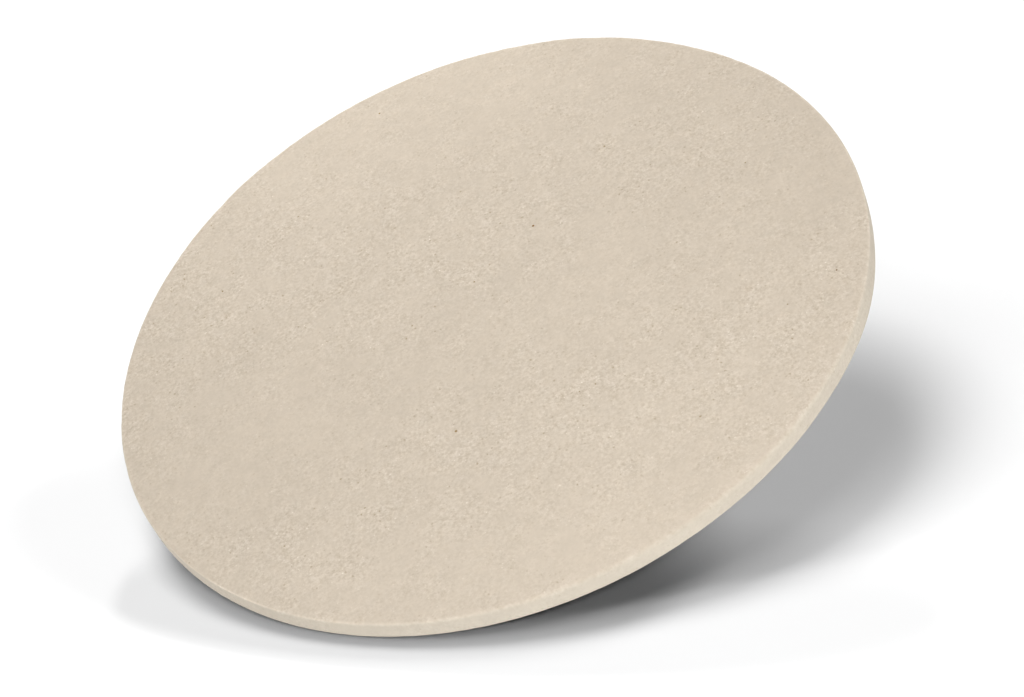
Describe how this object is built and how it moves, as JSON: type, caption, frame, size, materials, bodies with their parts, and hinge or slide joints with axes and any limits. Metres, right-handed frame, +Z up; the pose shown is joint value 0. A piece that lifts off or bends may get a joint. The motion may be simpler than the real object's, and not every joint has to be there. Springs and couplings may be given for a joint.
{
  "type": "pizza stone",
  "caption": "Flat round baking stone of pale beige fired ceramic with rounded top and bottom edges.",
  "frame": {"origin": "centre of the flat underside, on the surface that the stone rests on", "axes": "+Z up out of the baking face, along the disc's axis; X and Y lie in the underside and are free, because the disc is round"},
  "size_m": [0.3599, 0.36, 0.01],
  "materials": {
    "fired_ceramic": "matte"
  },
  "bodies": {
    "root": {"baking_stone": "fired_ceramic"}
  },
  "joints": []
}
